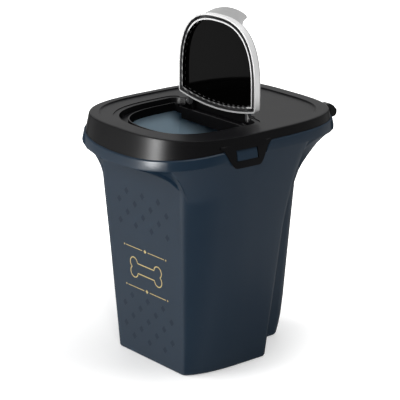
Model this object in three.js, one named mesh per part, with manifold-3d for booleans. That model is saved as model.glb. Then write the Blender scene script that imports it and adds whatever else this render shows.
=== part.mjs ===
// Pet food container with a press-on hinged lid and a flip-up pouring flap.
// Millimetres, +Z up. The origin is on the floor, below the middle of the lid's length.
// The flat front panel faces -Y, the hand grip spine is at +Y, and the flap stands open.
import * as THREE from "three";
import { mergeVertices } from "three/addons/utils/BufferGeometryUtils.js";
import Module from "manifold-3d";

const wasm = await Module();
wasm.setup();

// Fits shared by the pieces.
const seatGap = 0.3; // between faces that rest on each other
const runGap = 0.5; // between a pin and its bore
const cutOverrun = 4; // how far a cutter passes the face that it cuts

// Lid outline, seen from above: two half superellipses that meet where the lid is widest.
const lidHalfWidth = 107.9;
const lidFrontReach = 111.4;
const lidRearReach = 138.6;
const widestY = -13.6;
const frontSquareness = 2.94;
const rearSquareness = 3.39;

// Lid skirt and top.
const lidTopZ = 280;
const lidFlareShare = 0.19; // outward lean of the skirt, for each unit of depth
const skirtDepthFront = 25.8;
const skirtDepthRear = 10;
const skirtRiseStart = THREE.MathUtils.degToRad(8);
const skirtRiseShare = 0.7;
const skirtWall = 1.9;
const lidEdgeRadius = 2;
const lidPlate = 2;
const rimBandHeight = 1.4;
const rimBandFront = 9.5;
const rimBandRear = 14;
const rimBandSlope = 1.2;

// Tub.
const shoulderDrop = 75; // from the lid's top down to where the straight walls end
const wallHeight = lidTopZ - shoulderDrop;
const bottomHalfWidth = 72.6;
const upperHalfWidth = 104.5;
const bottomFrontReach = 104;
const upperFrontReach = 94.5;
const bottomSquareness = 3.3;
const upperCentreY = -12;
const bottomPanelY = -85.1;
const upperPanelY = -95.6;
const panelEdgeRadius = 3.6;
const archRise = 24.5;
const archSquareness = 2.5;
const spineHalfWidth = 32;
const upperSpineHalfWidth = 34;
const bottomSpineY = 89.5;
const upperSpineY = 111;
const spineRadius = 15;
const bottomGripY = 26;
const upperGripY = 32;
const gripRootRadius = 12;
const gripEdgeRadius = 7;
const gripShoulderDrop = 53; // how much sooner the shoulder begins beside the spine
const spineShoulderDrop = 19;
const heelHeight = 40;
const heelDepth = 6;
const tubWall = 2.2;
const floorTopZ = 4.2;
const footRadius = 2.4;
const baseRecess = 2;
const baseRecessHalfWidth = 58;
const baseRecessFrontY = -76;
const baseRecessRearY = 18;
const collarHeight = 11.8;
const collarProud = 1.6;
const collarWall = 4.4;
const collarRadius = 2.2;
const rimOuterInset = 2.5;
const rimWall = 2;
const plugClearance = 0.6;
const plugWall = 1.6;
const plugDepth = 5;
const plugRearClearance = 3.4; // lets the lid swing up about its rear hinge

// Side catches.
const tabCentreY = -39;
const tabDrop = 32.5;
const tabFlatHalf = 14;
const tabRootHalf = 33.5;
const tabWall = 1.9;
const tabProud = 1.5;
const tabRootDepth = 12.5;
const tabBlendShare = 0.2; // upper share of the tab where it runs into the skirt
const pocketClearance = 1;
const windowHalf = 14;
const windowTop = 13.5;
const windowBottom = 25;
const catchGap = 1;
const catchReach = 1.7;
const catchLead = 3; // height over which the catch slopes in at its lower edge

// Rear hinge of the lid.
const rearAxisOut = 3.4; // from the rear of the lid's top out to the pivot
const rearAxisY = widestY + lidRearReach + rearAxisOut;
const rearAxisDrop = 12; // from the lid's top down to the pivot
const rearAxisZ = lidTopZ - rearAxisDrop;
const rearForkX = 61;
const earWidth = 3.4;
const cheekWidth = 3;
const cheekRadius = 5;
const earRadius = 4.6;
const rearPinRadius = 1.9;
const forkTopDrop = 1;
const bridgeThickness = 3;
const forkRootInset = 5;

// Flap outline with the flap closed, seen from above.
const flapHalfWidth = 66;
const flapFrontY = -95;
const flapShoulderY = -18;
const flapCornerY = 4.2;
const flapBow = 7.2;
const flapCornerRadius = 4;
const flapSquareness = 2.65;

// Flap section and pivot.
const flapAxisY = 14;
const flapAxisDrop = 4;
const flapAxisZ = lidTopZ - flapAxisDrop;
const flapOpenAngle = THREE.MathUtils.degToRad(90);
const flapDepth = 9.1;
const flapRimDrop = 3.7; // from the pivot down to the free edge of the closed flap
const flapSkirtWall = 1.8;
const flapSkin = 2;
const flapEdgeRadius = 2.4;
const ribInset = 5.2;
const ribWall = 1.6;
const linerThickness = 2;
const nibLength = 3;
const nibReach = 0.8;
const nibHeight = 0.9;
const nibPitch = 8.5;
const thumbRootHalf = 37;
const thumbHalfWidth = 28;
const thumbRise = 13.6;
const thumbReach = 5.1;
const thumbSweep = 5; // how far back the ends of the free edge lie
const thumbEndShare = 0.15; // how much lower the lip is at its ends
const thumbCurvePower = 1.4;
const thumbWall = 1.7;
const armWidth = 3;
const armInset = 15.4;
const armRadius = 3;
const pivotRadius = 1.8;
const pivotHold = 2; // length of each pin inside the end wall of the trough

// Flap seat in the lid.
const seatStepOffset = 12;
const seatStepDepth = 0.7;
const trackOffset = 5;
const trackTopOffset = 6.2;
const lipInset = 3;
const lipWall = 1.4;
const lipRise = 3;
const lipDrop = 4;
const trackPlate = 2.4;
const troughFrontY = 1;
const troughWall = 2.2;
const troughRearY = 21;
const troughSideGap = 3.2; // beside each arm of the flap
const troughHalfWidth = flapHalfWidth - armInset + armWidth / 2 + troughSideGap;
const troughEndWall = 2.8;
const troughFloorDrop = 9.5;
const troughPlate = 2;
const baffleHalfWidth = 50;
const baffleDrop = 21.5;
const baffleBottomZ = lidTopZ - baffleDrop;
const stopPadWidth = 5;
const pivotSlot = 3;

const FULL_TURN = Math.PI * 2;
const QUARTER_TURN = Math.PI / 2;
const lerp = THREE.MathUtils.lerp;
const clamp = THREE.MathUtils.clamp;

// Closed skins from rings of points.

// Joins rings of equal count into a closed body. The end rings are capped, or joined when looped.
function skin(rings, looped = false) {
  const count = rings[0].length;
  const positions = rings.flat().flatMap((p) => [p.x, p.y, p.z]);
  const faces = [];
  const last = looped ? rings.length : rings.length - 1;
  for (let r = 0; r < last; r++) {
    const lower = r * count;
    const upper = ((r + 1) % rings.length) * count;
    for (let i = 0; i < count; i++) {
      const next = (i + 1) % count;
      faces.push(lower + i, lower + next, upper + next, lower + i, upper + next, upper + i);
    }
  }
  if (!looped) {
    const topStart = (rings.length - 1) * count;
    cap(rings[0]).forEach(([a, b, c]) => faces.push(a, c, b));
    cap(rings.at(-1)).forEach(([a, b, c]) => faces.push(topStart + a, topStart + b, topStart + c));
  }
  return closedGeometry(positions, faces);
}

// Fills a ring with triangles that run round in the same direction as the ring. It works in the
// coordinate plane where the ring covers the largest area.
function cap(ring) {
  const planes = [["x", "y"], ["y", "z"], ["z", "x"]];
  const outlines = planes.map(([u, v]) => ring.map((p) => new THREE.Vector2(p[u], p[v])));
  const areas = outlines.map((outline) => Math.abs(THREE.ShapeUtils.area(outline)));
  const widest = outlines[areas.indexOf(Math.max(...areas))];
  return THREE.ShapeUtils.triangulateShape(widest, []).map((face) => face.sort((a, b) => a - b));
}

// A geometry with merged corners whose faces point outwards.
function closedGeometry(positions, faces) {
  const geometry = new THREE.BufferGeometry();
  geometry.setAttribute("position", new THREE.Float32BufferAttribute(positions, 3));
  geometry.setIndex(faces);
  return facingOut(geometry);
}

function facingOut(geometry) {
  const index = geometry.index.array;
  const corner = [0, 1, 2].map(() => new THREE.Vector3());
  let volume = 0;
  for (let f = 0; f < index.length; f += 3) {
    corner.forEach((v, k) => v.fromBufferAttribute(geometry.attributes.position, index[f + k]));
    volume += corner[0].dot(corner[1].cross(corner[2]));
  }
  if (volume < 0) {
    for (let f = 0; f < index.length; f += 3) {
      [index[f + 1], index[f + 2]] = [index[f + 2], index[f + 1]];
    }
  }
  return geometry;
}

// Solids for joining and cutting.
function solid(geometry) {
  const plain = geometry.clone();
  plain.deleteAttribute("normal");
  plain.deleteAttribute("uv");
  const merged = mergeVertices(plain);
  const mesh = new wasm.Mesh({
    numProp: 3,
    vertProperties: new Float32Array(merged.attributes.position.array),
    triVerts: new Uint32Array(merged.index.array),
  });
  return new wasm.Manifold(mesh);
}

function geometryOf(body) {
  const mesh = body.getMesh();
  const geometry = new THREE.BufferGeometry();
  geometry.setAttribute("position", new THREE.BufferAttribute(mesh.vertProperties, 3));
  geometry.setIndex(new THREE.BufferAttribute(mesh.triVerts, 1));
  return geometry;
}

// A box between two corners.
function block(from, to) {
  const low = new THREE.Vector3(...from);
  const high = new THREE.Vector3(...to);
  const size = high.clone().sub(low);
  const middle = low.clone().add(high).multiplyScalar(1 / 2);
  return solid(new THREE.BoxGeometry(size.x, size.y, size.z).translate(middle.x, middle.y, middle.z));
}

// A round bar along X.
function barAlongX(radius, fromX, toX, y, z, sides = 24) {
  const bar = new THREE.CylinderGeometry(radius, radius, toX - fromX, sides).rotateZ(QUARTER_TURN);
  return solid(bar.translate((fromX + toX) / 2, y, z));
}

// A plate across X whose outline is drawn in y and z.
function plateAcrossX(outline, fromX, toX) {
  const ring = (x) => outline.map(([y, z]) => new THREE.Vector3(x, y, z));
  return solid(skin([ring(fromX), ring(toX)]));
}

// Points of an arc round a centre, from one angle to another.
function arc(cx, cy, radius, from, to, steps) {
  return Array.from({ length: steps + 1 }, (_, i) => {
    const angle = lerp(from, to, i / steps);
    return [cx + radius * Math.cos(angle), cy + radius * Math.sin(angle)];
  });
}

// Lid outline.

// Distance from the centre to a superellipse, in the direction of an angle.
function superRadius(halfWidth, reach, squareness, angle) {
  const across = Math.abs(Math.cos(angle) / halfWidth) ** squareness;
  const along = Math.abs(Math.sin(angle) / reach) ** squareness;
  return (across + along) ** (-1 / squareness);
}

// A point of the lid outline, moved outwards by an offset.
function lidPoint(angle, offset, z, extraFront = 0, extraRear = 0) {
  const front = Math.sin(angle) < 0;
  const reach = front ? lidFrontReach + extraFront : lidRearReach + extraRear;
  const squareness = front ? frontSquareness : rearSquareness;
  const radius = superRadius(lidHalfWidth + offset, reach + offset, squareness, angle);
  return new THREE.Vector3(radius * Math.cos(angle), widestY + radius * Math.sin(angle), z);
}

// Where the rear half of the lid outline stands at a distance from the middle.
function lidRearY(x, offset) {
  const across = Math.abs(x) / (lidHalfWidth + offset);
  return widestY + (lidRearReach + offset) * (1 - across ** rearSquareness) ** (1 / rearSquareness);
}

// How far the skirt has leaned outwards at a height.
const flareAt = (z) => lidFlareShare * (lidTopZ - z);

// Depth of the skirt round the lid: shallow at the sides and rear, deeper towards the front.
function skirtDepth(angle) {
  const towardsFront = Math.asin(clamp(-Math.sin(angle), 0, 1));
  const share = clamp((towardsFront - skirtRiseStart) / (QUARTER_TURN - skirtRiseStart), 0, 1);
  const rise = (Math.sin(share * QUARTER_TURN) ** 2) ** skirtRiseShare;
  return lerp(skirtDepthRear, skirtDepthFront, rise);
}

const lidStations = 96;
const lidAngles = Array.from({ length: lidStations }, (_, i) => (i / lidStations) * FULL_TURN);
const lidRing = (pointAt) => lidAngles.map(pointAt);
const skirtBottomZ = (angle) => lidTopZ - skirtDepth(angle);
const ledgeZ = (angle) => skirtBottomZ(angle) - seatGap;
const collarBottomZ = (angle) => ledgeZ(angle) - collarHeight;
const panelZ = lidTopZ - rimBandHeight;
const plateUndersideZ = panelZ - lidPlate;
const rimTopZ = plateUndersideZ - seatGap;
const rimInnerInset = rimOuterInset + rimWall;
const plugOuterInset = (angle) =>
  rimInnerInset + plugClearance + plugRearClearance * THREE.MathUtils.smoothstep(Math.sin(angle), 0, 1 / 2);

// Tub.

// Angles on the collar, in degrees, where the stretches of the half outline end, and their steps.
const spineAngle = 58;
const spineSideAngle = 40;
const gripRootAngle = 33;
const gripBackAngle = 29;
const gripEdgeAngle = 24;
const panelAngle = -52;
const panelRoundAngle = -55;
const spineSteps = 3;
const cornerSteps = 5;
const sideSteps = 3;
const rootSteps = 4;
const backSteps = 2;
const edgeSteps = 4;
const wallSteps = 16;
const roundSteps = 3;
const panelSteps = 4;

// Half outline of the straight wall at its bottom (share 0) or upper end (share 1), from the middle of
// the spine round to the middle of the front panel.
function halfSection(share) {
  const halfWidth = lerp(bottomHalfWidth, upperHalfWidth, share);
  const centreY = lerp(0, upperCentreY, share);
  const reach = lerp(bottomFrontReach, upperFrontReach, share);
  const squareness = lerp(bottomSquareness, frontSquareness, share);
  const panelY = lerp(bottomPanelY, upperPanelY, share);
  const spineX = lerp(spineHalfWidth, upperSpineHalfWidth, share);
  const spineY = lerp(bottomSpineY, upperSpineY, share);
  const gripY = lerp(bottomGripY, upperGripY, share);
  const sideX = (y) => halfWidth * (1 - Math.abs((y - centreY) / reach) ** squareness) ** (1 / squareness);
  const edgeX = sideX(gripY - gripEdgeRadius);
  const points = [];
  const line = ([fromX, fromY], [toX, toY], steps) => {
    for (let i = 0; i < steps; i++) points.push([lerp(fromX, toX, i / steps), lerp(fromY, toY, i / steps)]);
  };
  const bend = (cx, cy, radius, from, to, steps) => {
    points.push(...arc(cx, cy, radius, from, to, steps).slice(0, -1));
  };
  line([0, spineY], [spineX - spineRadius, spineY], spineSteps);
  bend(spineX - spineRadius, spineY - spineRadius, spineRadius, QUARTER_TURN, 0, cornerSteps);
  line([spineX, spineY - spineRadius], [spineX, gripY + gripRootRadius], sideSteps);
  const rootX = spineX + gripRootRadius;
  bend(rootX, gripY + gripRootRadius, gripRootRadius, Math.PI, Math.PI + QUARTER_TURN, rootSteps);
  line([rootX, gripY], [edgeX - gripEdgeRadius, gripY], backSteps);
  bend(edgeX - gripEdgeRadius, gripY - gripEdgeRadius, gripEdgeRadius, QUARTER_TURN, 0, edgeSteps);
  const roundStartY = panelY + panelEdgeRadius;
  const from = Math.atan2(gripY - gripEdgeRadius - centreY, edgeX);
  const to = Math.atan2(roundStartY - centreY, sideX(roundStartY));
  for (let i = 0; i < wallSteps; i++) {
    const angle = lerp(from, to, i / wallSteps);
    const radius = superRadius(halfWidth, reach, squareness, angle);
    points.push([radius * Math.cos(angle), centreY + radius * Math.sin(angle)]);
  }
  const start = new THREE.Vector2(sideX(roundStartY), roundStartY);
  const corner = new THREE.Vector2(sideX(panelY), panelY);
  const end = new THREE.Vector2(corner.x - panelEdgeRadius, panelY);
  const round = new THREE.QuadraticBezierCurve(start, corner, end);
  for (let i = 0; i < roundSteps; i++) points.push(round.getPoint(i / roundSteps).toArray());
  line(end.toArray(), [0, panelY], panelSteps);
  points.push([0, panelY]);
  return points;
}

// For each point of the half outline: its angle on the collar, and where its shoulder starts.
function halfStations() {
  const degrees = [];
  const run = (from, to, steps) => {
    for (let i = 0; i < steps; i++) degrees.push(lerp(from, to, i / steps));
  };
  const spineFace = lerp(90, spineAngle, 1 / 2);
  run(90, spineFace, spineSteps);
  run(spineFace, spineAngle, cornerSteps);
  run(spineAngle, spineSideAngle, sideSteps);
  run(spineSideAngle, gripRootAngle, rootSteps);
  run(gripRootAngle, gripBackAngle, backSteps);
  run(gripBackAngle, gripEdgeAngle, edgeSteps);
  run(gripEdgeAngle, panelAngle, wallSteps);
  run(panelAngle, panelRoundAngle, roundSteps);
  run(panelRoundAngle, -90, panelSteps);
  degrees.push(-90);
  return degrees.map((d) => THREE.MathUtils.degToRad(d));
}

const bottomSection = halfSection(0);
const upperSection = halfSection(1);
const halfAngles = halfStations();
const wallStart = spineSteps + cornerSteps + sideSteps + rootSteps + backSteps;
const panelStart = wallStart + edgeSteps + wallSteps;

// Where the shoulder starts above each station, and how it runs out to the collar.
function shoulderStart(i) {
  const [x] = upperSection[i];
  if (i >= panelStart) {
    const across = clamp(x / upperSection[panelStart][0], 0, 1);
    return wallHeight + archRise * (1 - across ** archSquareness) ** (1 / archSquareness);
  }
  const spineShare = 1 - THREE.MathUtils.smoothstep(i, spineSteps, wallStart);
  const rear = wallHeight - lerp(gripShoulderDrop, spineShoulderDrop, spineShare);
  return lerp(rear, wallHeight, THREE.MathUtils.smoothstep(i, wallStart, wallStart + edgeSteps * 3));
}

const rearFlareShares = { height: 0.75, reach: 1.05 };
const cornerFlareShares = { height: 1, reach: 1.6 };
const frontFlareShares = { height: 1, reach: 0.85 };

// How the shoulder of a station spreads its height or its reach over its steps.
function flareShare(i, key) {
  const towardsCorner = THREE.MathUtils.smoothstep(i, wallStart, panelStart);
  const towardsFront = THREE.MathUtils.smoothstep(i, panelStart, halfAngles.length - 1);
  const rearToCorner = lerp(rearFlareShares[key], cornerFlareShares[key], towardsCorner);
  return lerp(rearToCorner, frontFlareShares[key], towardsFront);
}

function shoulderPoint(i, t) {
  const angle = halfAngles[i];
  const startZ = shoulderStart(i);
  const endZ = collarBottomZ(angle);
  const z = lerp(startZ, endZ, t ** flareShare(i, "height"));
  const reach = t ** flareShare(i, "reach");
  const drafted = wallPoint(i, z);
  const draftedEnd = wallPoint(i, endZ);
  const target = lidPoint(angle, flareAt(endZ) + collarProud - collarRadius, endZ);
  return new THREE.Vector3(
    drafted.x + (target.x - draftedEnd.x) * reach,
    drafted.y + (target.y - draftedEnd.y) * reach,
    z,
  );
}

// A point of the straight drafted wall. The heel of the spine is rounded off near the floor.
function wallPoint(i, z) {
  const share = z / wallHeight;
  const x = lerp(bottomSection[i][0], upperSection[i][0], share);
  const y = lerp(bottomSection[i][1], upperSection[i][1], share);
  const spineShare = 1 - THREE.MathUtils.smoothstep(i, spineSteps + 1, wallStart - backSteps);
  const heel = heelDepth * spineShare * clamp(1 - z / heelHeight, 0, 1) ** 2;
  return new THREE.Vector3(x, y - heel, z);
}

// Mirrors a half ring, running from the spine to the front panel, to a whole one.
function wholeRing(half) {
  const mirrored = half.slice(1, -1).reverse();
  return [...half, ...mirrored.map((p) => new THREE.Vector3(-p.x, p.y, p.z))];
}

// Moves a level ring inwards.
function insetRing(ring, distance) {
  return ring.map((p, i) => {
    const before = ring.at(i - 1);
    const after = ring[(i + 1) % ring.length];
    const along = after.clone().sub(before).setZ(0).normalize();
    return new THREE.Vector3(p.x + along.y * distance, p.y - along.x * distance, p.z);
  });
}

// Moves a grid of rings to its inner side by a wall thickness.
function innerGrid(grid, wall) {
  return grid.map((ring, r) =>
    ring.map((p, i) => {
      const below = grid[Math.max(r - 1, 0)][i];
      const above = grid[Math.min(r + 1, grid.length - 1)][i];
      const along = ring[(i + 1) % ring.length].clone().sub(ring.at(i - 1));
      const inwards = along.cross(above.clone().sub(below)).normalize();
      return p.clone().addScaledVector(inwards, wall);
    }),
  );
}

const shoulderSteps = 7;
const recessSteps = 48;
const straightHeightShares = [0.06, 0.12, 0.22, 0.6];

function tubBody() {
  const stations = halfAngles.map((_, i) => i);
  const wallRing = (height) => wholeRing(stations.map((i) => wallPoint(i, height)));
  const collarRing = (inset, lift) =>
    wholeRing(
      halfAngles.map((angle) => {
        const z = lift(angle);
        return lidPoint(angle, flareAt(z) + collarProud - inset, z);
      }),
    );
  const rimRing = (inset, z) => wholeRing(halfAngles.map((angle) => lidPoint(angle, -inset, z)));
  const ledgeRing = (inset, drop) =>
    wholeRing(halfAngles.map((angle) => lidPoint(angle, -inset, ledgeZ(angle) - drop)));
  const foot = wallRing(0);
  const straight = straightHeightShares.map((share) => wallRing(share * wallHeight));
  straight.unshift(wallRing(floorTopZ));
  const shoulder = [];
  for (let s = 0; s <= shoulderSteps; s++) {
    shoulder.push(wholeRing(stations.map((i) => shoulderPoint(i, s / shoulderSteps))));
  }
  const wall = [...straight, ...shoulder];
  const inner = innerGrid(wall, tubWall).slice(0, -1);
  inner[0].forEach((p) => p.setZ(floorTopZ));
  const halfRadius = collarRadius / 2;
  return solid(
    skin([
      insetRing(foot, footRadius),
      insetRing(wallRing(footRadius / 3), footRadius / 3),
      wallRing(footRadius),
      ...wall,
      collarRing(halfRadius / 2, (angle) => collarBottomZ(angle) + halfRadius / 2),
      collarRing(0, (angle) => collarBottomZ(angle) + collarRadius),
      collarRing(0, (angle) => ledgeZ(angle) - halfRadius),
      collarRing(halfRadius, (angle) => ledgeZ(angle)),
      ledgeRing(rimOuterInset, 0),
      rimRing(rimOuterInset, rimTopZ - rimWall / 4),
      rimRing(rimOuterInset + rimWall / 4, rimTopZ),
      rimRing(rimInnerInset - rimWall / 4, rimTopZ),
      rimRing(rimInnerInset, rimTopZ - rimWall / 4),
      ledgeRing(rimInnerInset, tubWall),
      collarRing(collarWall, (angle) => ledgeZ(angle) - collarWall),
      collarRing(collarWall, (angle) => collarBottomZ(angle) + collarWall),
      ...inner.reverse(),
    ]),
  );
}

// Steps along and up the curved plates of the side catches.
const tabSteps = 28;
const tabRows = 6;
const windowSteps = 4;
const catchRows = 4;

// A curved plate on one side of the lid or collar, made of upright sections from its rear to its front.
function sidePlate(side, acrossSteps, upSteps, placeAt) {
  const section = (across) => {
    const ups = Array.from({ length: upSteps + 1 }, (_, u) => u / upSteps);
    const column = (outer) => ups.map((up) => placeAt(across, up, outer));
    const ring = [...column(true), ...column(false).reverse()];
    return ring.map((p) => new THREE.Vector3(p.x * side, p.y, p.z));
  };
  return solid(skin(Array.from({ length: acrossSteps + 1 }, (_, a) => section(a / acrossSteps))));
}

// The angle on the outline where a side plate stands at a distance along the side.
const sideAngle = (y) => Math.atan2(y - widestY, lidHalfWidth);

// Lower edge of the side tab at a distance from its middle.
function tabEdgeZ(distance, clearance = 0) {
  const share = clamp((Math.abs(distance) - tabFlatHalf - clearance) / (tabRootHalf - tabFlatHalf), 0, 1);
  const root = (1 - Math.cos(share * Math.PI)) / 2;
  return lidTopZ - lerp(tabDrop + clearance, tabRootDepth - cutOverrun / 2, root);
}

function sideTab(side) {
  const tab = sidePlate(side, tabSteps, tabRows, (across, up, outer) => {
    const distance = lerp(-tabRootHalf, tabRootHalf, across);
    const z = lerp(tabEdgeZ(distance), lidTopZ - skirtDepthRear + lidEdgeRadius, up);
    const outerProud = tabProud * Math.min(1, (1 - up) / tabBlendShare);
    const offset = outer ? outerProud : tabProud - tabWall;
    return lidPoint(sideAngle(tabCentreY + distance), flareAt(z) + offset, z);
  });
  return tab.subtract(tabWindow(side));
}

function tabWindow(side) {
  return sidePlate(side, windowSteps, 1, (across, up, outer) => {
    const angle = sideAngle(tabCentreY + lerp(-windowHalf, windowHalf, across));
    const z = lidTopZ - lerp(windowBottom, windowTop, up);
    return lidPoint(angle, flareAt(z) + tabProud + (outer ? cutOverrun : -cutOverrun), z);
  });
}

const pocketInset = tabWall - tabProud + seatGap; // from the flared skirt line in to the pocket floor

function tabPocket(side) {
  return sidePlate(side, tabSteps, 1, (across, up, outer) => {
    const half = tabRootHalf + pocketClearance;
    const distance = lerp(-half, half, across);
    const low = tabEdgeZ(distance, pocketClearance);
    const z = lerp(low, lidTopZ, up);
    return lidPoint(sideAngle(tabCentreY + distance), flareAt(z) + (outer ? cutOverrun : -pocketInset), z);
  });
}

function sideCatch(side) {
  const half = windowHalf - catchGap;
  const lowZ = lidTopZ - windowBottom + seatGap;
  const highZ = lidTopZ - windowTop - catchGap;
  const leadShare = catchLead / (highZ - lowZ);
  return sidePlate(side, windowSteps, catchRows, (across, up, outer) => {
    const angle = sideAngle(tabCentreY + lerp(-half, half, across));
    const z = lerp(lowZ, highZ, up);
    const reach = catchReach * Math.min(1, (1 - up) / leadShare);
    return lidPoint(angle, flareAt(z) - pocketInset + (outer ? reach + seatGap : -tubWall / 2), z);
  });
}

// Rear hinge: an ear on the tub between the two cheeks of a fork on the lid.
const forkHalf = earWidth / 2 + seatGap + cheekWidth;
const earSteps = 12;
const cheekSteps = 14;
const cheekBarSides = 32;

function rearEar(side) {
  const x = side * rearForkX;
  const rootY = lidRearY(rearForkX + earWidth / 2, collarWall / 2);
  const outline = [
    [rootY, rearAxisZ + seatGap],
    [rootY, rearAxisZ - earRadius * 2],
    ...arc(rearAxisY, rearAxisZ, earRadius, -QUARTER_TURN, QUARTER_TURN, earSteps),
  ];
  const plate = plateAcrossX(outline, x - earWidth / 2, x + earWidth / 2);
  const bore = barAlongX(rearPinRadius + runGap / 2, x - earWidth, x + earWidth, rearAxisY, rearAxisZ);
  const mouthHalf = rearPinRadius - seatGap;
  const mouth = block(
    [x - earWidth, rearAxisY, rearAxisZ - mouthHalf],
    [x + earWidth, rearAxisY + earRadius + cutOverrun, rearAxisZ + mouthHalf],
  );
  return plate.subtract(bore).subtract(mouth);
}

// The space inside the skirt, below the plate.
function insideSkirt() {
  const level = (z) => lidRing((angle) => lidPoint(angle, flareAt(z) - skirtWall, z));
  return solid(skin([level(rearAxisZ), level(plateUndersideZ)]));
}

function rearFork(side) {
  const x = side * rearForkX;
  const topZ = lidTopZ - forkTopDrop;
  const rootY = lidRearY(rearForkX, -forkRootInset);
  const cheekOutline = [
    [rootY, topZ],
    [rootY, rearAxisZ + cheekRadius],
    [rearAxisY - cheekRadius, rearAxisZ + cheekRadius],
    ...arc(rearAxisY, rearAxisZ, cheekRadius, -Math.PI, 0, cheekSteps),
    [rearAxisY + cheekRadius, rearAxisZ + cheekRadius / 2],
    [rearAxisY, rearAxisZ + cheekRadius + bridgeThickness],
    [rearAxisY - cheekRadius, topZ],
  ];
  const inner = earWidth / 2 + seatGap;
  const left = plateAcrossX(cheekOutline, x - forkHalf, x - inner);
  const right = plateAcrossX(cheekOutline, x + inner, x + forkHalf);
  const bridgeOutline = [
    [rootY, topZ],
    [rootY, rearAxisZ + cheekRadius],
    [rearAxisY + cheekRadius / 2, rearAxisZ + cheekRadius],
    [rearAxisY, rearAxisZ + cheekRadius + bridgeThickness],
    [rearAxisY - cheekRadius, topZ],
  ];
  const bridge = plateAcrossX(bridgeOutline, x - forkHalf, x + forkHalf);
  const pinHalf = forkHalf - cheekWidth / 2;
  const pin = barAlongX(rearPinRadius, x - pinHalf, x + pinHalf, rearAxisY, rearAxisZ);
  return left.add(right).add(bridge).add(pin).subtract(insideSkirt());
}

function rearClearance(side) {
  const x = side * rearForkX;
  const half = forkHalf + runGap;
  return barAlongX(cheekRadius + runGap, x - half, x + half, rearAxisY, rearAxisZ, cheekBarSides);
}

function tub() {
  const recessRing = (z) => {
    const centreY = (baseRecessFrontY + baseRecessRearY) / 2;
    const reach = (baseRecessRearY - baseRecessFrontY) / 2;
    return Array.from({ length: recessSteps }, (_, i) => {
      const angle = (i / recessSteps) * FULL_TURN;
      const radius = superRadius(baseRecessHalfWidth, reach, rearSquareness, angle);
      return new THREE.Vector3(radius * Math.cos(angle), centreY + radius * Math.sin(angle), z);
    });
  };
  let body = tubBody().subtract(solid(skin([recessRing(-cutOverrun), recessRing(baseRecess)])));
  for (const side of [-1, 1]) {
    body = body.subtract(tabPocket(side)).add(sideCatch(side));
    body = body.subtract(rearClearance(side)).add(rearEar(side));
  }
  return body;
}

// Steps round the flap and its lip.
const flapFrontSteps = 40;
const flapSideSteps = 3;
const flapCornerSteps = 4;
const flapBowSteps = 12;
const thumbSteps = 24;
const thumbRows = 6;
const armSteps = 10;

// Flap outline with the flap closed, moved outwards by an offset.
function flapOutline(offset) {
  const half = flapHalfWidth + offset;
  const frontReach = flapShoulderY - flapFrontY + offset;
  const cornerY = flapCornerY + offset;
  const radius = Math.max(flapCornerRadius + offset, flapSkirtWall / 3);
  const points = [];
  for (let i = 0; i <= flapFrontSteps; i++) {
    const angle = -Math.PI + (i / flapFrontSteps) * Math.PI;
    const away = superRadius(half, frontReach, flapSquareness, angle);
    points.push([away * Math.cos(angle), flapShoulderY + away * Math.sin(angle)]);
  }
  const sideTop = cornerY - radius;
  const sideYs = Array.from({ length: flapSideSteps - 1 }, (_, i) => {
    return lerp(flapShoulderY, sideTop, (i + 1) / flapSideSteps);
  });
  points.push(...sideYs.map((y) => [half, y]));
  const corner = arc(half - radius, sideTop, radius, 0, QUARTER_TURN, flapCornerSteps);
  points.push(...corner);
  for (let i = 1; i < flapBowSteps; i++) {
    const share = lerp(1, -1, i / flapBowSteps);
    points.push([share * (half - radius), cornerY + flapBow * (1 - share ** 2)]);
  }
  points.push(...corner.map(([x, y]) => [-x, y]).reverse());
  points.push(...sideYs.map((y) => [-half, y]).reverse());
  return points;
}

// How far back the flap's bowed rear edge reaches at a distance from the middle.
const flapRearY = (x) => flapCornerY + flapBow * (1 - (x / (flapHalfWidth - flapCornerRadius)) ** 2);

const flapRing = (offset, z) => flapOutline(offset).map(([x, y]) => new THREE.Vector3(x, y, z));
const flapPrism = (...levels) => solid(skin(levels.map(([offset, z]) => flapRing(offset, z))));

// Lid.

function lidShell() {
  const ring = (offset, z) => lidRing((angle) => lidPoint(angle, offset, z));
  const skirtRing = (inset) =>
    lidRing((angle) => lidPoint(angle, flareAt(skirtBottomZ(angle)) - inset, skirtBottomZ(angle)));
  const plugRing = (inset, z) => lidRing((angle) => lidPoint(angle, -plugOuterInset(angle) - inset, z));
  const bandRing = (inset, z) =>
    lidRing((angle) => lidPoint(angle, -rimBandFront - inset, z, 0, rimBandFront - rimBandRear));
  return solid(
    skin([
      plugRing(plugWall, plateUndersideZ),
      plugRing(plugWall, plateUndersideZ - plugDepth),
      plugRing(0, plateUndersideZ - plugDepth),
      plugRing(0, plateUndersideZ),
      ring(flareAt(plateUndersideZ) - skirtWall, plateUndersideZ),
      skirtRing(skirtWall),
      skirtRing(0),
      ring(flareAt(lidTopZ - lidEdgeRadius), lidTopZ - lidEdgeRadius),
      ring(-lidEdgeRadius / 6, lidTopZ - lidEdgeRadius / 3),
      ring(-lidEdgeRadius, lidTopZ),
      bandRing(0, lidTopZ),
      bandRing(rimBandSlope, panelZ),
    ]),
  );
}

const flapRimZ = flapAxisZ - flapRimDrop;
const trackZ = flapRimZ - seatGap * 2;
const stepZ = panelZ - seatStepDepth;
const troughFloorZ = flapAxisZ - troughFloorDrop;
const armCentreX = flapHalfWidth - armInset;

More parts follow.
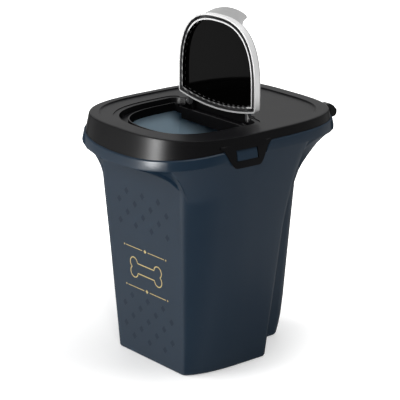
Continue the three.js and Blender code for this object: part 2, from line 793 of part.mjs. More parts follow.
function lid() {
  const lipTopZ = trackZ + lipRise;
  const wellBottomZ = trackZ - trackPlate;
  const wellOffset = trackTopOffset + trackPlate;
  let body = lidShell();
  body = body.add(flapPrism([wellOffset, wellBottomZ], [wellOffset, plateUndersideZ + lidPlate / 2]));
  const troughEnd = troughHalfWidth + troughEndWall;
  body = body.add(
    block(
      [-troughEnd, troughFrontY, troughFloorZ - troughPlate],
      [troughEnd, troughRearY + troughWall, plateUndersideZ + lidPlate / 2],
    ),
  );
  const aboveZ = panelZ + cutOverrun;
  body = body.subtract(flapPrism([seatStepOffset, stepZ], [seatStepOffset + seatStepDepth, aboveZ]));
  body = body.subtract(flapPrism([trackOffset, trackZ], [trackTopOffset, stepZ], [trackTopOffset, aboveZ]));
  body = body.add(flapPrism([-lipInset, wellBottomZ - lipDrop], [-lipInset, lipTopZ]));
  const openingInset = lipInset + lipWall;
  const opening = flapPrism([-openingInset, baffleBottomZ - cutOverrun], [-openingInset, aboveZ]);
  const frontOnly = block(
    [-flapHalfWidth, flapFrontY - cutOverrun, baffleBottomZ - cutOverrun * 2],
    [flapHalfWidth, troughFrontY, lidTopZ + cutOverrun * 2],
  );
  body = body.subtract(opening.intersect(frontOnly));
  const troughInnerY = troughFrontY + troughWall;
  body = body.add(
    block([-baffleHalfWidth, troughFrontY, baffleBottomZ], [baffleHalfWidth, troughInnerY, trackZ]),
  );
  body = body.subtract(
    block([-troughHalfWidth, troughInnerY, troughFloorZ], [troughHalfWidth, troughRearY, lidTopZ]),
  );
  body = body.subtract(
    block([-troughHalfWidth, troughFrontY - seatGap, trackZ], [troughHalfWidth, troughRearY, lidTopZ]),
  );
  for (const side of [-1, 1]) {
    const padX = side * armCentreX;
    const padHalf = stopPadWidth / 2;
    const padY = flapAxisY + armRadius + seatGap;
    body = body.add(
      block(
        [padX - padHalf, padY, troughFloorZ - troughPlate / 2],
        [padX + padHalf, troughRearY + troughWall / 2, stepZ],
      ),
    );
    const endX = side * (troughHalfWidth - cutOverrun);
    const outX = side * (troughEnd + seatGap);
    const [fromX, toX] = [Math.min(endX, outX), Math.max(endX, outX)];
    body = body.subtract(barAlongX(pivotRadius + runGap / 2, fromX, toX, flapAxisY, flapAxisZ));
    body = body.subtract(
      block([fromX, flapAxisY - pivotSlot / 2, flapAxisZ], [toX, flapAxisY + pivotSlot / 2, lidTopZ]),
    );
    body = body.add(sideTab(side)).subtract(tabWindow(side)).add(rearFork(side));
  }
  return body;
}

// Flap, built closed round its pivot.

const flapTopZ = flapDepth - flapRimDrop;
const skinUnderZ = flapTopZ - flapSkin;
const aboutPivot = (body) => geometryOf(body).translate(0, -flapAxisY, 0);

// How far forward the flap's tip reaches at a distance from the middle.
function flapTipY(x) {
  const across = Math.abs(x / flapHalfWidth);
  const reach = flapShoulderY - flapFrontY;
  return flapShoulderY - reach * (1 - across ** flapSquareness) ** (1 / flapSquareness);
}

// The lip leans outwards as it rises, and hollow fillets widen it at its root.
function thumbLip() {
  const heights = Array.from({ length: thumbRows + 1 }, (_, row) => row / thumbRows);
  return solid(
    skin(
      Array.from({ length: thumbSteps + 1 }, (_, i) => {
        const share = lerp(-1, 1, i / thumbSteps);
        const fade = 1 - thumbEndShare * share ** 8;
        const profile = (back) =>
          heights.map((t) => {
            const x = share * lerp(thumbHalfWidth, thumbRootHalf, (1 - t) ** 2);
            const freeY = flapFrontY - thumbReach + thumbSweep * share ** 2;
            const y = lerp(flapTipY(x) + seatGap, freeY, t ** thumbCurvePower);
            const rise = (thumbRise + flapEdgeRadius) * fade * t;
            const wall = back * lerp(thumbWall + flapEdgeRadius, thumbWall, Math.min(1, t * 2));
            return new THREE.Vector3(x, y + wall, flapTopZ - flapEdgeRadius + rise);
          });
        return [...profile(0), ...profile(1).reverse()];
      }),
    ),
  );
}

function flapArm(side) {
  const x = side * armCentreX;
  const from = x - armWidth / 2;
  const to = x + armWidth / 2;
  const barFrontY = flapRearY(x) - ribInset - ribWall / 2;
  const outline = [
    [barFrontY, -armRadius],
    ...arc(flapAxisY, 0, armRadius, -QUARTER_TURN, QUARTER_TURN, armSteps),
    [barFrontY, armRadius],
  ];
  const pinEnd = side * (troughHalfWidth + pivotHold);
  const pin = barAlongX(pivotRadius, Math.min(x, pinEnd), Math.max(x, pinEnd), flapAxisY, 0);
  return plateAcrossX(outline, from, to).add(pin);
}

// Small nibs inside the rib that hold the liner.
function linerNibs() {
  const path = flapOutline(-ribInset - ribWall);
  const nibTopZ = skinUnderZ - linerThickness - seatGap * 2;
  const nibs = [];
  let travelled = 0;
  path.forEach(([x, y], i) => {
    const [nextX, nextY] = path[(i + 1) % path.length];
    const length = Math.hypot(nextX - x, nextY - y);
    for (; travelled < length; travelled += nibPitch) {
      const share = travelled / length;
      const nib = new THREE.BoxGeometry(nibLength, nibReach * 2, nibHeight);
      nib.rotateZ(Math.atan2(nextY - y, nextX - x));
      nibs.push(nib.translate(lerp(x, nextX, share), lerp(y, nextY, share), nibTopZ - nibHeight / 2));
    }
    travelled -= length;
  });
  return nibs.map(solid);
}

function flapShell() {
  const edge = flapEdgeRadius;
  let body = flapPrism(
    [0, -flapRimDrop],
    [0, flapTopZ - edge],
    [-edge * 0.3, flapTopZ - edge * 0.3],
    [-edge, flapTopZ],
  );
  body = body.subtract(flapPrism([-flapSkirtWall, -flapRimDrop - cutOverrun], [-flapSkirtWall, skinUnderZ]));
  const rib = flapPrism([-ribInset, -flapRimDrop], [-ribInset, skinUnderZ + flapSkin / 2]);
  const insideInset = ribInset + ribWall;
  const ribInside = flapPrism([-insideInset, -flapRimDrop - cutOverrun], [-insideInset, skinUnderZ]);
  body = body.add(rib.subtract(ribInside)).add(thumbLip());
  linerNibs().forEach((nib) => {
    body = body.add(nib);
  });
  for (const side of [-1, 1]) body = body.add(flapArm(side));
  return aboutPivot(body);
}

function flapLiner() {
  const inset = -ribInset - ribWall - seatGap;
  return aboutPivot(flapPrism([inset, skinUnderZ - seatGap - linerThickness], [inset, skinUnderZ - seatGap]));
}

// Assembly.

const darkBlue = new THREE.MeshStandardMaterial({ color: 0x2b3644, roughness: 0.4, metalness: 0 });
const black = new THREE.MeshStandardMaterial({ color: 0x1c1c1d, roughness: 0.45, metalness: 0 });
const silver = new THREE.MeshStandardMaterial({ color: 0xc9cacc, roughness: 0.35, metalness: 0.3 });
const glossBlack = new THREE.MeshStandardMaterial({ color: 0x0b0b0c, roughness: 0.08, metalness: 0 });

function piece(name, geometry, material) {
  const mesh = new THREE.Mesh(geometry, material);
  mesh.name = name;
  return mesh;
}

const container = new THREE.Group();
container.add(piece("tub", geometryOf(tub()), darkBlue));
container.add(piece("lid", geometryOf(lid()), black));

const flap = new THREE.Group();
flap.position.set(0, flapAxisY, flapAxisZ);
flap.rotation.x = -flapOpenAngle;
flap.add(piece("flap_shell", flapShell(), silver));
flap.add(piece("flap_liner", flapLiner(), glossBlack));
container.add(flap);

export default container;
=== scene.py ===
import math

import bmesh
import bpy
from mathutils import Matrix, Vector
from mathutils.bvhtree import BVHTree


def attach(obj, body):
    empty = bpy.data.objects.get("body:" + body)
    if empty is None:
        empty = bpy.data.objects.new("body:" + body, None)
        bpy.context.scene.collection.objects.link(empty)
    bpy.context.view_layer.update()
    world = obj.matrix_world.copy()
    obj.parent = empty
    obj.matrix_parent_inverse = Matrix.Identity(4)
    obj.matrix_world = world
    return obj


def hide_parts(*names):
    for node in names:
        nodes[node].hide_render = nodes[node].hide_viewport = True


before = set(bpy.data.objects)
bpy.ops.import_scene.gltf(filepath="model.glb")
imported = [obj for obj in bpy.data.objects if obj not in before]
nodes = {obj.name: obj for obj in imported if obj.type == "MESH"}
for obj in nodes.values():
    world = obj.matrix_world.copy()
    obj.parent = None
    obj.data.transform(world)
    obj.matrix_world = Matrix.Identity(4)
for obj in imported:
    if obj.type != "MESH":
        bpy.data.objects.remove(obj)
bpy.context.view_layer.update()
MM = 0.001


# Colours and nodes

def srgb(code):
    """A six-figure sRGB hex colour as linear RGBA."""
    parts = [int(code[i:i + 2], 16) / 255 for i in (0, 2, 4)]
    return [c / 12.92 if c <= 0.04045 else ((c + 0.055) / 1.055) ** 2.4 for c in parts] + [1.0]


def add_node(tree, kind, inputs=None, **settings):
    """Adds a node, sets its properties and fills its inputs with values or with sockets to link."""
    node = tree.nodes.new(kind)
    for name, value in settings.items():
        setattr(node, name, value)
    for name, value in (inputs or {}).items():
        if isinstance(value, bpy.types.NodeSocket):
            tree.links.new(value, node.inputs[name])
        else:
            node.inputs[name].default_value = value
    return node


def new_material(name):
    """A new material, its node tree, its shader, and the place of a point on the piece in metres."""
    material = bpy.data.materials.new(name)
    material.use_nodes = True
    tree = material.node_tree
    tree.nodes.clear()
    shader = add_node(tree, "ShaderNodeBsdfPrincipled")
    add_node(tree, "ShaderNodeOutputMaterial", {"Surface": shader.outputs[0]})
    place = add_node(tree, "ShaderNodeTexCoord").outputs["Object"]
    return material, tree, shader, place


# Finishes

# Pigment in moulded plastic drifts slowly over some centimetres, and the gloss drifts with it.
MOTTLE_MM = 60
MOTTLE_DETAIL = 2.0
ROUGHNESS_DRIFT = 0.03
# A spark-eroded tool leaves a grain 0.1 to 0.2 mm wide. It is drawn 0.3 to 1.4 mm wide, so that it shows.
GRAIN_DETAIL = 3.0
GRAIN_STRENGTH = 0.5
POLYPROPYLENE_IOR = 1.49
# With this blend, the turn of a wall runs from 0 where it is seen face on to 1 where it is seen edge on.
EVEN_BLEND = 0.5


def gloss_by_angle(tree, stops):
    """A gloss that changes as the wall turns away, from pairs of turn and specular level."""
    turn = add_node(tree, "ShaderNodeLayerWeight", {"Blend": EVEN_BLEND}).outputs["Facing"]
    ramp = add_node(tree, "ShaderNodeValToRGB", {"Fac": turn})
    elements = ramp.color_ramp.elements
    elements[0].position = stops[0][0]
    elements[-1].position = stops[-1][0]
    for position, _ in stops[1:-1]:
        elements.new(position)
    for element, (_, level) in zip(elements, stops):
        element.color = (level, level, level, 1.0)
    return ramp.outputs["Color"]


def moulded_finish(name, base, mottle, roughness, gloss, grain_mm, relief_mm, metallic=0.0):
    """A finish on moulded plastic: a slightly drifting colour over a fine grain that spreads highlights."""
    material, tree, shader, place = new_material(name)
    cloud = add_node(
        tree, "ShaderNodeTexNoise",
        {"Vector": place, "Scale": 1 / (MOTTLE_MM * MM), "Detail": MOTTLE_DETAIL},
    )
    tint = add_node(
        tree, "ShaderNodeMix",
        {0: cloud.outputs["Fac"], 6: srgb(base), 7: srgb(mottle)},
        data_type="RGBA",
    )
    tree.links.new(tint.outputs[2], shader.inputs["Base Color"])
    grain = add_node(
        tree, "ShaderNodeTexNoise",
        {"Vector": place, "Scale": 1 / (grain_mm * MM), "Detail": GRAIN_DETAIL},
    )
    relief = add_node(
        tree, "ShaderNodeBump",
        {"Height": grain.outputs["Fac"], "Strength": GRAIN_STRENGTH, "Distance": relief_mm * MM},
    )
    tree.links.new(relief.outputs[0], shader.inputs["Normal"])
    spread = add_node(
        tree, "ShaderNodeMapRange",
        {
            "Value": cloud.outputs["Fac"],
            "To Min": roughness - ROUGHNESS_DRIFT,
            "To Max": roughness + ROUGHNESS_DRIFT,
        },
    )
    tree.links.new(spread.outputs[0], shader.inputs["Roughness"])
    shader.inputs["IOR"].default_value = POLYPROPYLENE_IOR
    shader.inputs["Metallic"].default_value = metallic
    if isinstance(gloss, tuple):
        tree.links.new(gloss_by_angle(tree, gloss), shader.inputs["Specular IOR Level"])
    else:
        shader.inputs["Specular IOR Level"].default_value = gloss
    return material


# Navy polypropylene moulded in a fine-grained tool: a satin sheen where a wall is nearly face on, and a deep
# matt blue where it turns away.
navy_polypropylene = moulded_finish(
    "navy_polypropylene", "172431", "1a2733", roughness=0.3,
    gloss=((0.05, 0.02), (0.18, 0.085), (0.35, 0.08), (0.75, 0.0003)), grain_mm=0.9, relief_mm=0.01,
)

# Polypropylene inside the tub in a milky, dull grey-blue, paler than the outside: painted light
# for the light that comes in from above.
inner_wall_painted_light = moulded_finish(
    "inner_wall_painted_light", "95abb9", "9aafbd", roughness=0.42, gloss=0.3, grain_mm=1.4, relief_mm=0.01,
)

# Black polypropylene from a polished tool: a soft grey highlight down the lid's band, and black beside it.
black_polypropylene = moulded_finish(
    "black_polypropylene", "060607", "09090a", roughness=0.33,
    gloss=((0.35, 0.045), (0.75, 0.002)), grain_mm=0.7, relief_mm=0.012,
)

# Black polypropylene from a spark-eroded tool: the top of the lid, dull enough to show its steps by shade.
textured_polypropylene = moulded_finish(
    "textured_polypropylene", "08080a", "0c0c0d", roughness=0.34, gloss=0.04, grain_mm=0.6, relief_mm=0.02,
)

# Silver lacquer sprayed on polypropylene: a bright, slightly metallic outer wall on the flap.
silver_lacquer = moulded_finish(
    "silver_lacquer", "c8c8c8", "cecece", roughness=0.3, gloss=0.4, grain_mm=0.4, relief_mm=0.01,
    metallic=0.35,
)

# The same lacquer on the flap's narrow rims, a little greyer than the wall: painted shade.
rim_silver_painted_shade = moulded_finish(
    "rim_silver_painted_shade", "b2b2b2", "b8b8b8", roughness=0.3, gloss=0.4, grain_mm=0.4, relief_mm=0.01,
    metallic=0.35,
)

# The same lacquer over a coarser grain, on the thumb lip and the outer face: dull, and a darker grey as
# painted shade.
lip_silver_painted_shade = moulded_finish(
    "lip_silver_painted_shade", "868686", "8b8b8b", roughness=0.36, gloss=0.3, grain_mm=0.5, relief_mm=0.012,
    metallic=0.35,
)

# The groove between the rims: a dark, dull grey line of painted shade on the polypropylene.
groove_painted_shade = moulded_finish(
    "groove_painted_shade", "3a3a3b", "404041", roughness=0.34, gloss=0.15, grain_mm=0.6, relief_mm=0.008,
)

# Black polypropylene from a mirror-polished tool, for the liner and the inside of its rib: near black, with a
# wide, faint ripple in what it reflects.
piano_black = moulded_finish(
    "piano_black", "020202", "030303", roughness=0.06, gloss=0.021, grain_mm=2.5, relief_mm=0.004,
)

# Tinted clear lacquer printed on the panel: a lattice that is only a shade darker than the navy round it.
tonal_lacquer = moulded_finish(
    "tonal_lacquer", "0a1826", "0c1a28", roughness=0.3, gloss=0.06, grain_mm=0.6, relief_mm=0.004,
)

# Hot-stamped foil: a dull brownish gold line with a metallic glint.
gold_foil = moulded_finish(
    "gold_foil", "7d7044", "87794c", roughness=0.36, gloss=0.4, grain_mm=0.3, relief_mm=0.006,
    metallic=0.5,
)


# Painted shade and dashes along the flap's inner rim

# The rim runs across beside the hinge and up the left side, so across plus up counts along both.
ALONG_RIM = (1.0, 0.0, 1.0)
DASH_PITCH = 9 * MM
DASH_SHARE = 0.45
DASH_BRIGHTNESS = 0.35
# The painted shade and its dashes end at a slanting line from the rim's upper left to its lower right.
TOWARDS_LIT_RIM = (0.566, 0.0, 0.825)
LIT_RIM_FROM = 0.2687


def nibs_and_painted_shade(name, material, painted_shade_colour):
    """Paints shade on a bright rim along the hinge and the left side, broken into dashes where the liner's
    nibs cross it.
    """
    material = material.copy()
    material.name = name
    tree = material.node_tree
    base = tree.nodes["Principled BSDF"].inputs["Base Color"]
    place = add_node(tree, "ShaderNodeTexCoord").outputs["Object"]
    along = add_node(tree, "ShaderNodeVectorMath", {0: place, 1: ALONG_RIM}, operation="DOT_PRODUCT")
    pitches = add_node(
        tree, "ShaderNodeMath",
        {0: along.outputs["Value"], 1: DASH_PITCH},
        operation="DIVIDE",
    )
    part = add_node(tree, "ShaderNodeMath", {0: pitches.outputs[0]}, operation="FRACT")
    dash = add_node(tree, "ShaderNodeMath", {0: part.outputs[0], 1: DASH_SHARE}, operation="LESS_THAN")
    dulled = add_node(
        tree, "ShaderNodeMath",
        {0: dash.outputs[0], 1: DASH_BRIGHTNESS},
        operation="MULTIPLY",
    )
    across = add_node(
        tree, "ShaderNodeVectorMath",
        {0: place, 1: TOWARDS_LIT_RIM},
        operation="DOT_PRODUCT",
    )
    lit_rim = add_node(
        tree, "ShaderNodeMath",
        {0: across.outputs["Value"], 1: LIT_RIM_FROM},
        operation="GREATER_THAN",
    )
    kept = add_node(
        tree, "ShaderNodeMath",
        {0: dulled.outputs[0], 1: lit_rim.outputs[0]},
        operation="MAXIMUM",
    )
    # Towards the hinge and the left side the rim is mixed with the painted shade colour, least on the dashes.
    tint = add_node(
        tree, "ShaderNodeMix",
        {0: kept.outputs[0], 6: srgb(painted_shade_colour), 7: base.links[0].from_socket},
        data_type="RGBA",
    )
    tree.links.new(tint.outputs[2], base)
    return material


# The inner rim of the flap in the same lacquer, with painted shade along the hinge and the left side, broken
# into dull dashes by the row of nibs.
dashed_silver_painted_shade = nibs_and_painted_shade("dashed_silver_painted_shade", rim_silver_painted_shade, painted_shade_colour="343435")


# Moulded pieces

WELD_DISTANCE = 0.002 * MM
FLAT_ANGLE = math.radians(0.5)
SHARP_ANGLE = math.radians(32)
EDGE_SEGMENTS = 2


def new_piece(name, mesh, body):
    """A piece that rides on a body."""
    piece = bpy.data.objects.new(name, mesh)
    bpy.context.scene.collection.objects.link(piece)
    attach(piece, body)
    return piece


def moulding(name, node, body, materials, edge_mm, finish=None, flat_below=None):
    """The moulding that stands for one solid, with smooth walls and softly rounded edges.

    Each face gets the material that finish picks. With flat_below, large faces set the shading only below it.
    """
    shape = bmesh.new()
    shape.from_mesh(nodes[node].data)
    bmesh.ops.remove_doubles(shape, verts=shape.verts, dist=WELD_DISTANCE)
    bmesh.ops.dissolve_limit(shape, angle_limit=FLAT_ANGLE, verts=shape.verts, edges=shape.edges)
    walls = BVHTree.FromBMesh(shape)
    for face in shape.faces:
        face.smooth = True
        face.material_index = finish(face, walls) if finish else 0
    for edge in shape.edges:
        edge.smooth = edge.calc_face_angle(0) < SHARP_ANGLE
    mesh = bpy.data.meshes.new(name)
    shape.to_mesh(mesh)
    shape.free()
    for material in materials:
        mesh.materials.append(material)
    piece = new_piece(name, mesh, body)
    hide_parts(node)
    rounding = piece.modifiers.new("rounded_edges", "BEVEL")
    rounding.limit_method = "ANGLE"
    rounding.angle_limit = SHARP_ANGLE
    rounding.width = edge_mm * MM
    rounding.segments = EDGE_SEGMENTS
    rounding.use_clamp_overlap = True
    shading = piece.modifiers.new("even_shading", "WEIGHTED_NORMAL")
    shading.keep_sharp = True
    if flat_below:
        low = [vertex.index for vertex in mesh.vertices if vertex.co.z < flat_below]
        flat_walls = piece.vertex_groups.new(name="flat_walls")
        flat_walls.add(low, 1, "ADD")
        shading.vertex_group = flat_walls.name


# How far a face looks in a direction is 1 for straight that way and -1 for straight away from it.
FLOOR_LOOKS_UP = 0.95
INSIDE_LOOKS_OUTWARDS = -0.2
LID_TOP_LOOKS_UP = 0.6
RIM_LOOKS_BACK = -0.7
TUB_MIDDLE_Y = -0.012
UNDERSIDE_BELOW_Z = 0.004
INNER_FLOOR_BELOW_Z = 0.01
COLLAR_BOTTOM_Z = 0.246
TUB_OUTSIDE, TUB_INSIDE = range(2)


def tub_finish(face, _):
    """Whether a face of the tub is on its outside, or on its inner wall or floor."""
    middle = face.calc_center_median()
    if middle.z < UNDERSIDE_BELOW_Z:
        return TUB_OUTSIDE
    if face.normal.z > FLOOR_LOOKS_UP and middle.z < INNER_FLOOR_BELOW_Z:
        return TUB_INSIDE
    outwards = Vector((middle.x, middle.y - TUB_MIDDLE_Y, 0)).normalized()
    return TUB_INSIDE if face.normal.dot(outwards) < INSIDE_LOOKS_OUTWARDS else TUB_OUTSIDE


LID_SIDE, LID_TOP = range(2)


def lid_finish(face, _):
    """Whether a face of the lid looks up or belongs to its sides and underside."""
    return LID_TOP if face.normal.z > LID_TOP_LOOKS_UP else LID_SIDE


FLAP_BACK_Y = 0.0175
RIM_Y = 0.0103
RIM_DEPTH = 0.5 * MM
RIB_BOTTOM_Z = 0.2837
RIB_REACH = 0.0615
RAY_START = 0.1 * MM
GROOVE_NEAREST = 1.5 * MM
GROOVE_FARTHEST = 20 * MM
OUTER_WALL, PAINTED_SHADE_WALL, OUTER_RIM, RIB_RIM, RIB_INSIDE, LIP_AND_BACK = range(6)


def within_rib(corner):
    """True for a corner within the width, and above the foot, of the rib that holds the liner."""
    return abs(corner.co.x) < RIB_REACH and corner.co.z > RIB_BOTTOM_Z


def flap_finish(face, walls):
    """Which part of the open flap a face belongs to, from its place and what it faces across a gap.

    The rims look to the front of the container. A face with nothing opposite it is on the outer wall.
    """
    middle = face.calc_center_median()
    if middle.y > FLAP_BACK_Y:
        return LIP_AND_BACK
    if face.normal.y < RIM_LOOKS_BACK:
        # A face that looks back from deeper than the rims is in the groove, and gets its painted shade.
        if middle.y > RIM_Y + RIM_DEPTH:
            return PAINTED_SHADE_WALL
        return RIB_RIM if all(within_rib(corner) for corner in face.verts) else OUTER_RIM
    opposite, _, _, distance = walls.ray_cast(middle + face.normal * RAY_START, face.normal)
    if opposite is None:
        return OUTER_WALL
    # Walls facing across the groove, and walls below the rib's foot, get the painted shade too.
    beside_groove = GROOVE_NEAREST < distance < GROOVE_FARTHEST
    return PAINTED_SHADE_WALL if beside_groove or middle.z < RIB_BOTTOM_Z else RIB_INSIDE


# The tub's inner wall and floor take the paler blue that is painted light.
tub_materials = [navy_polypropylene, inner_wall_painted_light]
lid_materials = [black_polypropylene, textured_polypropylene]
flap_materials = [silver_lacquer, groove_painted_shade, rim_silver_painted_shade, dashed_silver_painted_shade, piano_black, lip_silver_painted_shade]
moulding(
    "tub_moulding", "tub", "tub", tub_materials, edge_mm=0.3,
    finish=tub_finish, flat_below=COLLAR_BOTTOM_Z,
)
moulding("lid_moulding", "lid", "lid", lid_materials, edge_mm=0.3, finish=lid_finish)
moulding("flap_shell_moulding", "flap_shell", "flap", flap_materials, edge_mm=0.25, finish=flap_finish)
moulding("flap_liner_moulding", "flap_liner", "flap", [piano_black], edge_mm=0.3)


# Prints on the front panel

PANEL_BOTTOM_Y = -0.0851
PANEL_TOP_Y = -0.0956
PANEL_TOP_Z = 0.205
PRINT_LIFT = 0.05 * MM


def on_panel(x, z, lift):
    """A point in front of the sloping front panel, from millimetres across and up."""
    share = z * MM / PANEL_TOP_Z
    return Vector((x * MM, PANEL_BOTTOM_Y + (PANEL_TOP_Y - PANEL_BOTTOM_Y) * share - lift, z * MM))


def print_piece(name, outlines, material):
    """A thin coat of ink or foil laid on the panel from closed outlines."""
    ink = bmesh.new()
    for outline in outlines:
        front = [ink.verts.new(on_panel(x, z, PRINT_LIFT)) for x, z in outline]
        back = [ink.verts.new(on_panel(x, z, -PRINT_LIFT)) for x, z in outline]
        ink.faces.new(front)
        ink.faces.new(back[::-1])
        for i in range(len(outline)):
            ink.faces.new([front[i - 1], back[i - 1], back[i], front[i]])
    bmesh.ops.recalc_face_normals(ink, faces=ink.faces)
    mesh = bpy.data.meshes.new(name)
    ink.to_mesh(mesh)
    ink.free()
    mesh.materials.append(material)
    new_piece(name, mesh, "tub")


def lozenge(x, z, half_width, half_height):
    """The outline of a lozenge round its middle."""
    return [(x - half_width, z), (x, z - half_height), (x + half_width, z), (x, z + half_height)]


def ribbon(path, width, closed=False):
    """The outline strips of a line of even width along a path."""
    normals = []
    for i in range(len(path)):
        before = path[i - 1] if closed or i else path[i]
        after = path[(i + 1) % len(path)] if closed or i < len(path) - 1 else path[i]
        along = Vector((after[0] - before[0], after[1] - before[1])).normalized()
        normals.append(Vector((-along.y, along.x)) * width / 2)
    strips = []
    for i in range(len(path) if closed else len(path) - 1):
        j = (i + 1) % len(path)
        a, b = Vector(path[i]), Vector(path[j])
        corners = (a - normals[i], b - normals[j], b + normals[j], a + normals[i])
        strips.append([tuple(corner) for corner in corners])
    return strips


# The bone, in millimetres. Each knob has its side, its level, and the angles where its arc starts and ends.
BONE_HALF_LENGTH = 28
BONE_KNOB = 6.6
BONE_LINE = 1.3
KNOB_SPREAD = 0.82
KNOB_STEPS = 14
KNOBS = ((1, 1, -55, 175), (-1, 1, 5, 235), (-1, -1, 125, 355), (1, -1, -175, 55))


def bone_outline(middle_z):
    """A plain bone lying across the panel: two knobs at each end of a shaft."""
    reach = BONE_HALF_LENGTH - BONE_KNOB
    points = []
    for side, level, start, end in KNOBS:
        for step in range(KNOB_STEPS + 1):
            turn = math.radians(start + (end - start) * step / KNOB_STEPS)
            x = side * reach + BONE_KNOB * math.cos(turn)
            z = middle_z + level * BONE_KNOB * KNOB_SPREAD + BONE_KNOB * math.sin(turn)
            points.append((x, z))
    return points


# The lattice of lozenges, in millimetres. It leaves room for the ornament.
LATTICE_PITCH = 28
LATTICE_RISE = 12.5
LATTICE_TOP = 197
LATTICE_ROWS = 15
LATTICE_COLUMNS = range(-2, 3)
LATTICE_LOZENGE = (4.0, 4.4)
ORNAMENT_BOTTOM = 72
ORNAMENT_TOP = 148
# The panel widens upwards, and the lattice with it.
PRINT_REACH = 44
PRINT_REACH_GROWTH = 10


def lattice():
    """The lozenges of the lattice, in rows that are shifted by half a pitch in turn."""
    lozenges = []
    for row in range(LATTICE_ROWS):
        z = LATTICE_TOP - row * LATTICE_RISE
        if ORNAMENT_BOTTOM < z < ORNAMENT_TOP:
            continue
        shift = LATTICE_PITCH / 2 if row % 2 else 0
        reach = PRINT_REACH + PRINT_REACH_GROWTH * z * MM / PANEL_TOP_Z
        for column in LATTICE_COLUMNS:
            x = column * LATTICE_PITCH + shift
            if abs(x) < reach:
                lozenges.append(lozenge(x, z, *LATTICE_LOZENGE))
    return lozenges


# The ornament, in millimetres: a bone between two lines with a lozenge in the middle and at both ends.
ORNAMENT_MIDDLE = 108
LINE_DISTANCE = 24
LINE_START = 5
LINE_END = 34
LINE_WIDTH = 0.9
MIDDLE_LOZENGE = 2.4
END_LOZENGE = 1.3
END_GAP = 3


def ornament():
    """The bone, and the broken line above and below it."""
    outlines = ribbon(bone_outline(ORNAMENT_MIDDLE), BONE_LINE, closed=True)
    for z in (ORNAMENT_MIDDLE + LINE_DISTANCE, ORNAMENT_MIDDLE - LINE_DISTANCE):
        for side in (-1, 1):
            outlines += ribbon([(side * LINE_START, z), (side * LINE_END, z)], LINE_WIDTH)
            outlines.append(lozenge(side * (LINE_END + END_GAP), z, END_LOZENGE, END_LOZENGE))
        outlines.append(lozenge(0, z, MIDDLE_LOZENGE, MIDDLE_LOZENGE))
    return outlines


print_piece("panel_motifs", lattice(), tonal_lacquer)
print_piece("panel_ornament", ornament(), gold_foil)


# Studio

FLOOR_REACH = 6.0
FLOOR_ROUGHNESS = 0.6
# The floor's glow is lowered round the container into a painted shadow, over the lamps' real one.
SHADOW_LEVEL = 0.2
SHADOW_MIDDLE = (-0.1, -0.05, 0)
SHADOW_CORE = 0.1
SHADOW_REACH = 0.38
# A second painted shadow, to the container's right, is seen only in gloss.
MIRRORED_SHADOW_MIDDLE = (0.12, 0.05, 0)
MIRRORED_SHADOW_CORE = 0.04
MIRRORED_SHADOW_REACH = 0.16
ROOM_LEVEL = 0.09
WHITE_LEVEL = 1.0


def mirrored_ray(tree, rays):
    """1 for a ray that a glossy or a clear surface sends on, 0 for any other."""
    either = add_node(
        tree, "ShaderNodeMath",
        {0: rays.outputs["Is Glossy Ray"], 1: rays.outputs["Is Transmission Ray"]},
        operation="MAXIMUM",
    )
    return either.outputs[0]


def floor_level(tree, place, middle, core, reach, shown):
    """The floor's brightness for the rays it is shown to: white that falls softly to the core of a painted
    shadow.
    """
    away = add_node(tree, "ShaderNodeVectorMath", {0: place, 1: middle}, operation="DISTANCE")
    level = add_node(
        tree, "ShaderNodeMapRange",
        {
            "Value": away.outputs["Value"],
            "From Min": core,
            "From Max": reach,
            "To Min": SHADOW_LEVEL,
            "To Max": WHITE_LEVEL,
        },
        interpolation_type="SMOOTHSTEP",
    )
    shown_level = add_node(
        tree, "ShaderNodeMath",
        {0: shown, 1: level.outputs[0]},
        operation="MULTIPLY",
    )
    return shown_level.outputs[0]


def studio_floor():
    """A pale floor that shows white away from the container, its glow lowered into a painted soft shadow
    round its foot.
    """
    sheet = bmesh.new()
    bmesh.ops.create_grid(sheet, x_segments=2, y_segments=2, size=FLOOR_REACH)
    mesh = bpy.data.meshes.new("studio_floor")
    sheet.to_mesh(mesh)
    sheet.free()
    floor = bpy.data.objects.new("studio_floor", mesh)
    bpy.context.scene.collection.objects.link(floor)
    material, tree, shader, place = new_material("white_studio_floor")
    shader.inputs["Base Color"].default_value = srgb("e2e2e2")
    shader.inputs["Roughness"].default_value = FLOOR_ROUGHNESS
    shader.inputs["Emission Color"].default_value = srgb("ffffff")
    rays = add_node(tree, "ShaderNodeLightPath")
    seen = floor_level(
        tree, place, SHADOW_MIDDLE, SHADOW_CORE, SHADOW_REACH, rays.outputs["Is Camera Ray"],
    )
    mirrored = floor_level(
        tree, place, MIRRORED_SHADOW_MIDDLE, MIRRORED_SHADOW_CORE, MIRRORED_SHADOW_REACH,
        mirrored_ray(tree, rays),
    )
    level = add_node(tree, "ShaderNodeMath", {0: seen, 1: mirrored}, operation="MAXIMUM")
    tree.links.new(level.outputs[0], shader.inputs["Emission Strength"])
    mesh.materials.append(material)


def white_world():
    """A room that shows white to the camera and in gloss, and lights the container only faintly."""
    world = bpy.data.worlds.new("white_studio")
    world.use_nodes = True
    tree = world.node_tree
    tree.nodes.clear()
    rays = add_node(tree, "ShaderNodeLightPath")
    shown = add_node(
        tree, "ShaderNodeMath",
        {0: rays.outputs["Is Camera Ray"], 1: mirrored_ray(tree, rays)},
        operation="MAXIMUM",
    )
    room = add_node(tree, "ShaderNodeBackground", {"Color": srgb("ffffff"), "Strength": ROOM_LEVEL})
    white = add_node(tree, "ShaderNodeBackground", {"Color": srgb("ffffff"), "Strength": WHITE_LEVEL})
    mix = add_node(
        tree, "ShaderNodeMixShader",
        {0: shown.outputs[0], 1: room.outputs[0], 2: white.outputs[0]},
    )
    add_node(tree, "ShaderNodeOutputWorld", {"Surface": mix.outputs[0]})
    bpy.context.scene.world = world


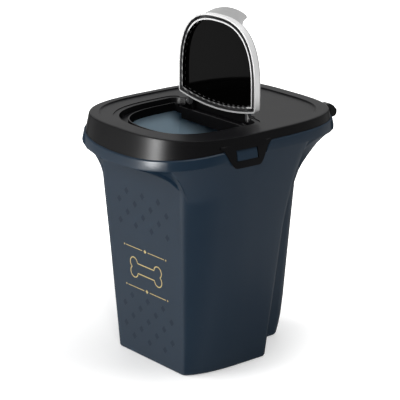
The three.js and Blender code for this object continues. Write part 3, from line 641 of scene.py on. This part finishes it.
def soft_box(name, position, target, size, power, lights=True, shines=True):
    """A soft lamp that lights the matt colours, or makes the highlights, or both."""
    light = bpy.data.lights.new(name, "AREA")
    light.shape = "RECTANGLE"
    light.size, light.size_y = size
    light.energy = power
    lamp = bpy.data.objects.new(name, light)
    bpy.context.scene.collection.objects.link(lamp)
    lamp.visible_diffuse = lights
    lamp.visible_glossy = shines
    lamp.location = position
    lamp.rotation_euler = (Vector(target) - Vector(position)).to_track_quat("-Z", "Y").to_euler()


CAMERA_AZIMUTH = math.radians(50.5)
CAMERA_ELEVATION = math.radians(17.88)
CAMERA_PLACE = Vector((1524.25, -1269.28, 813.44)) * MM
CAMERA_LENS = 165.9
SENSOR_WIDTH = 36


def photo_camera():
    """The camera, at the photograph's viewing angle."""
    backwards = Vector((
        math.sin(CAMERA_AZIMUTH) * math.cos(CAMERA_ELEVATION),
        -math.cos(CAMERA_AZIMUTH) * math.cos(CAMERA_ELEVATION),
        math.sin(CAMERA_ELEVATION),
    ))
    optics = bpy.data.cameras.new("photo_camera")
    optics.lens = CAMERA_LENS
    optics.sensor_width = SENSOR_WIDTH
    camera = bpy.data.objects.new("photo_camera", optics)
    bpy.context.scene.collection.objects.link(camera)
    camera.location = CAMERA_PLACE
    camera.rotation_euler = (-backwards).to_track_quat("-Z", "Y").to_euler()
    bpy.context.scene.camera = camera


photo_camera()
studio_floor()
white_world()
soft_box(
    "front_box", position=(-1.07, -1.37, 1.2), target=(0, 0, 0.15),
    size=(1.6, 1.6), power=37, shines=False,
)
soft_box(
    "highlight_strip", position=(-0.42, -2.0, 0.45), target=(0, 0, 0.22),
    size=(0.5, 1.3), power=320, lights=False,
)
soft_box(
    "overhead_box", position=(0.1, 0.2, 2.0), target=(0, 0, 0.2),
    size=(1.4, 1.4), power=27,
)
soft_box(
    "camera_side_box", position=(1.81, -1.18, 1.06), target=(-0.1, 0.02, 0.24),
    size=(0.5, 0.5), power=24, shines=False,
)
bpy.context.scene.view_settings.view_transform = "Standard"
